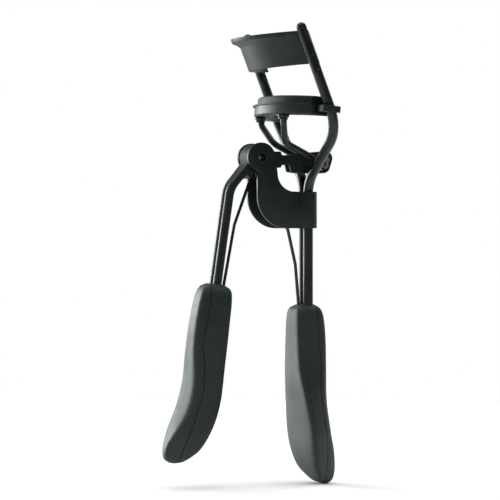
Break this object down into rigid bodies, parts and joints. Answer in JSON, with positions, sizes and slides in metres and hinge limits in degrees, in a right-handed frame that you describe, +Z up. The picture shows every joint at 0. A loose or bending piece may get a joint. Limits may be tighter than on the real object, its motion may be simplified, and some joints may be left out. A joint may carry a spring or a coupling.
{
  "type": "eyelash curler",
  "caption": "Black eyelash curler: a lever on a hollow rivet pushes a rubber-padded curved lower jaw up two frame rods to a curved upper band.",
  "frame": {"origin": "middle of the object's bounding box in plan, on the level of the fixed handle's foot", "axes": "+Z up along the fixed handle towards the jaws, +X from the moving handle towards the fixed handle, +Y across the jaws along the hinge rivet"},
  "size_m": [0.0438, 0.0382, 0.11],
  "materials": {
    "painted_black": "satin black paint",
    "pad_rubber": "matte rubber",
    "soft_grip": "matte soft-touch, fine grain"
  },
  "bodies": {
    "frame": {"frame_rod_near": "painted_black", "frame_rod_far": "painted_black", "upper_jaw": "painted_black", "hinge_bracket": "painted_black", "pivot_rivet": "painted_black", "torsion_spring": "painted_black", "fixed_grip_inner": "soft_grip", "fixed_grip_outer": "soft_grip"},
    "lever": {"lever_rod_near": "painted_black", "lever_rod_far": "painted_black", "lever_yoke": "painted_black", "pivot_bush": "painted_black", "moving_grip_inner": "soft_grip", "moving_grip_outer": "soft_grip"},
    "jaw": {"lower_jaw": "painted_black", "lash_pad": "pad_rubber", "push_wire": "painted_black", "push_collar_near": "painted_black", "push_collar_far": "painted_black", "wire_rivet_near": "painted_black", "wire_rivet_far": "painted_black"}
  },
  "joints": [
    {"name": "lever_swing", "type": "hinge", "parent": "frame", "child": "lever", "pos_m": [0.00182, 0, 0.0788], "axis": [0, -1, 0], "range_deg": [0, 20], "stiffness_Nm_per_rad": 0.08, "springref_deg": -17.19, "deforming": ["torsion_spring"]},
    {"name": "jaw_lift", "type": "hinge", "parent": "frame", "child": "jaw", "pos_m": [-0.02804, 0, 0.07843], "axis": [0, -1, 0], "range_deg": [0, 9.6]}
  ],
  "couplings": [
    {"joint": "jaw_lift", "follows": "lever_swing", "ratio": 0.47798}
  ]
}
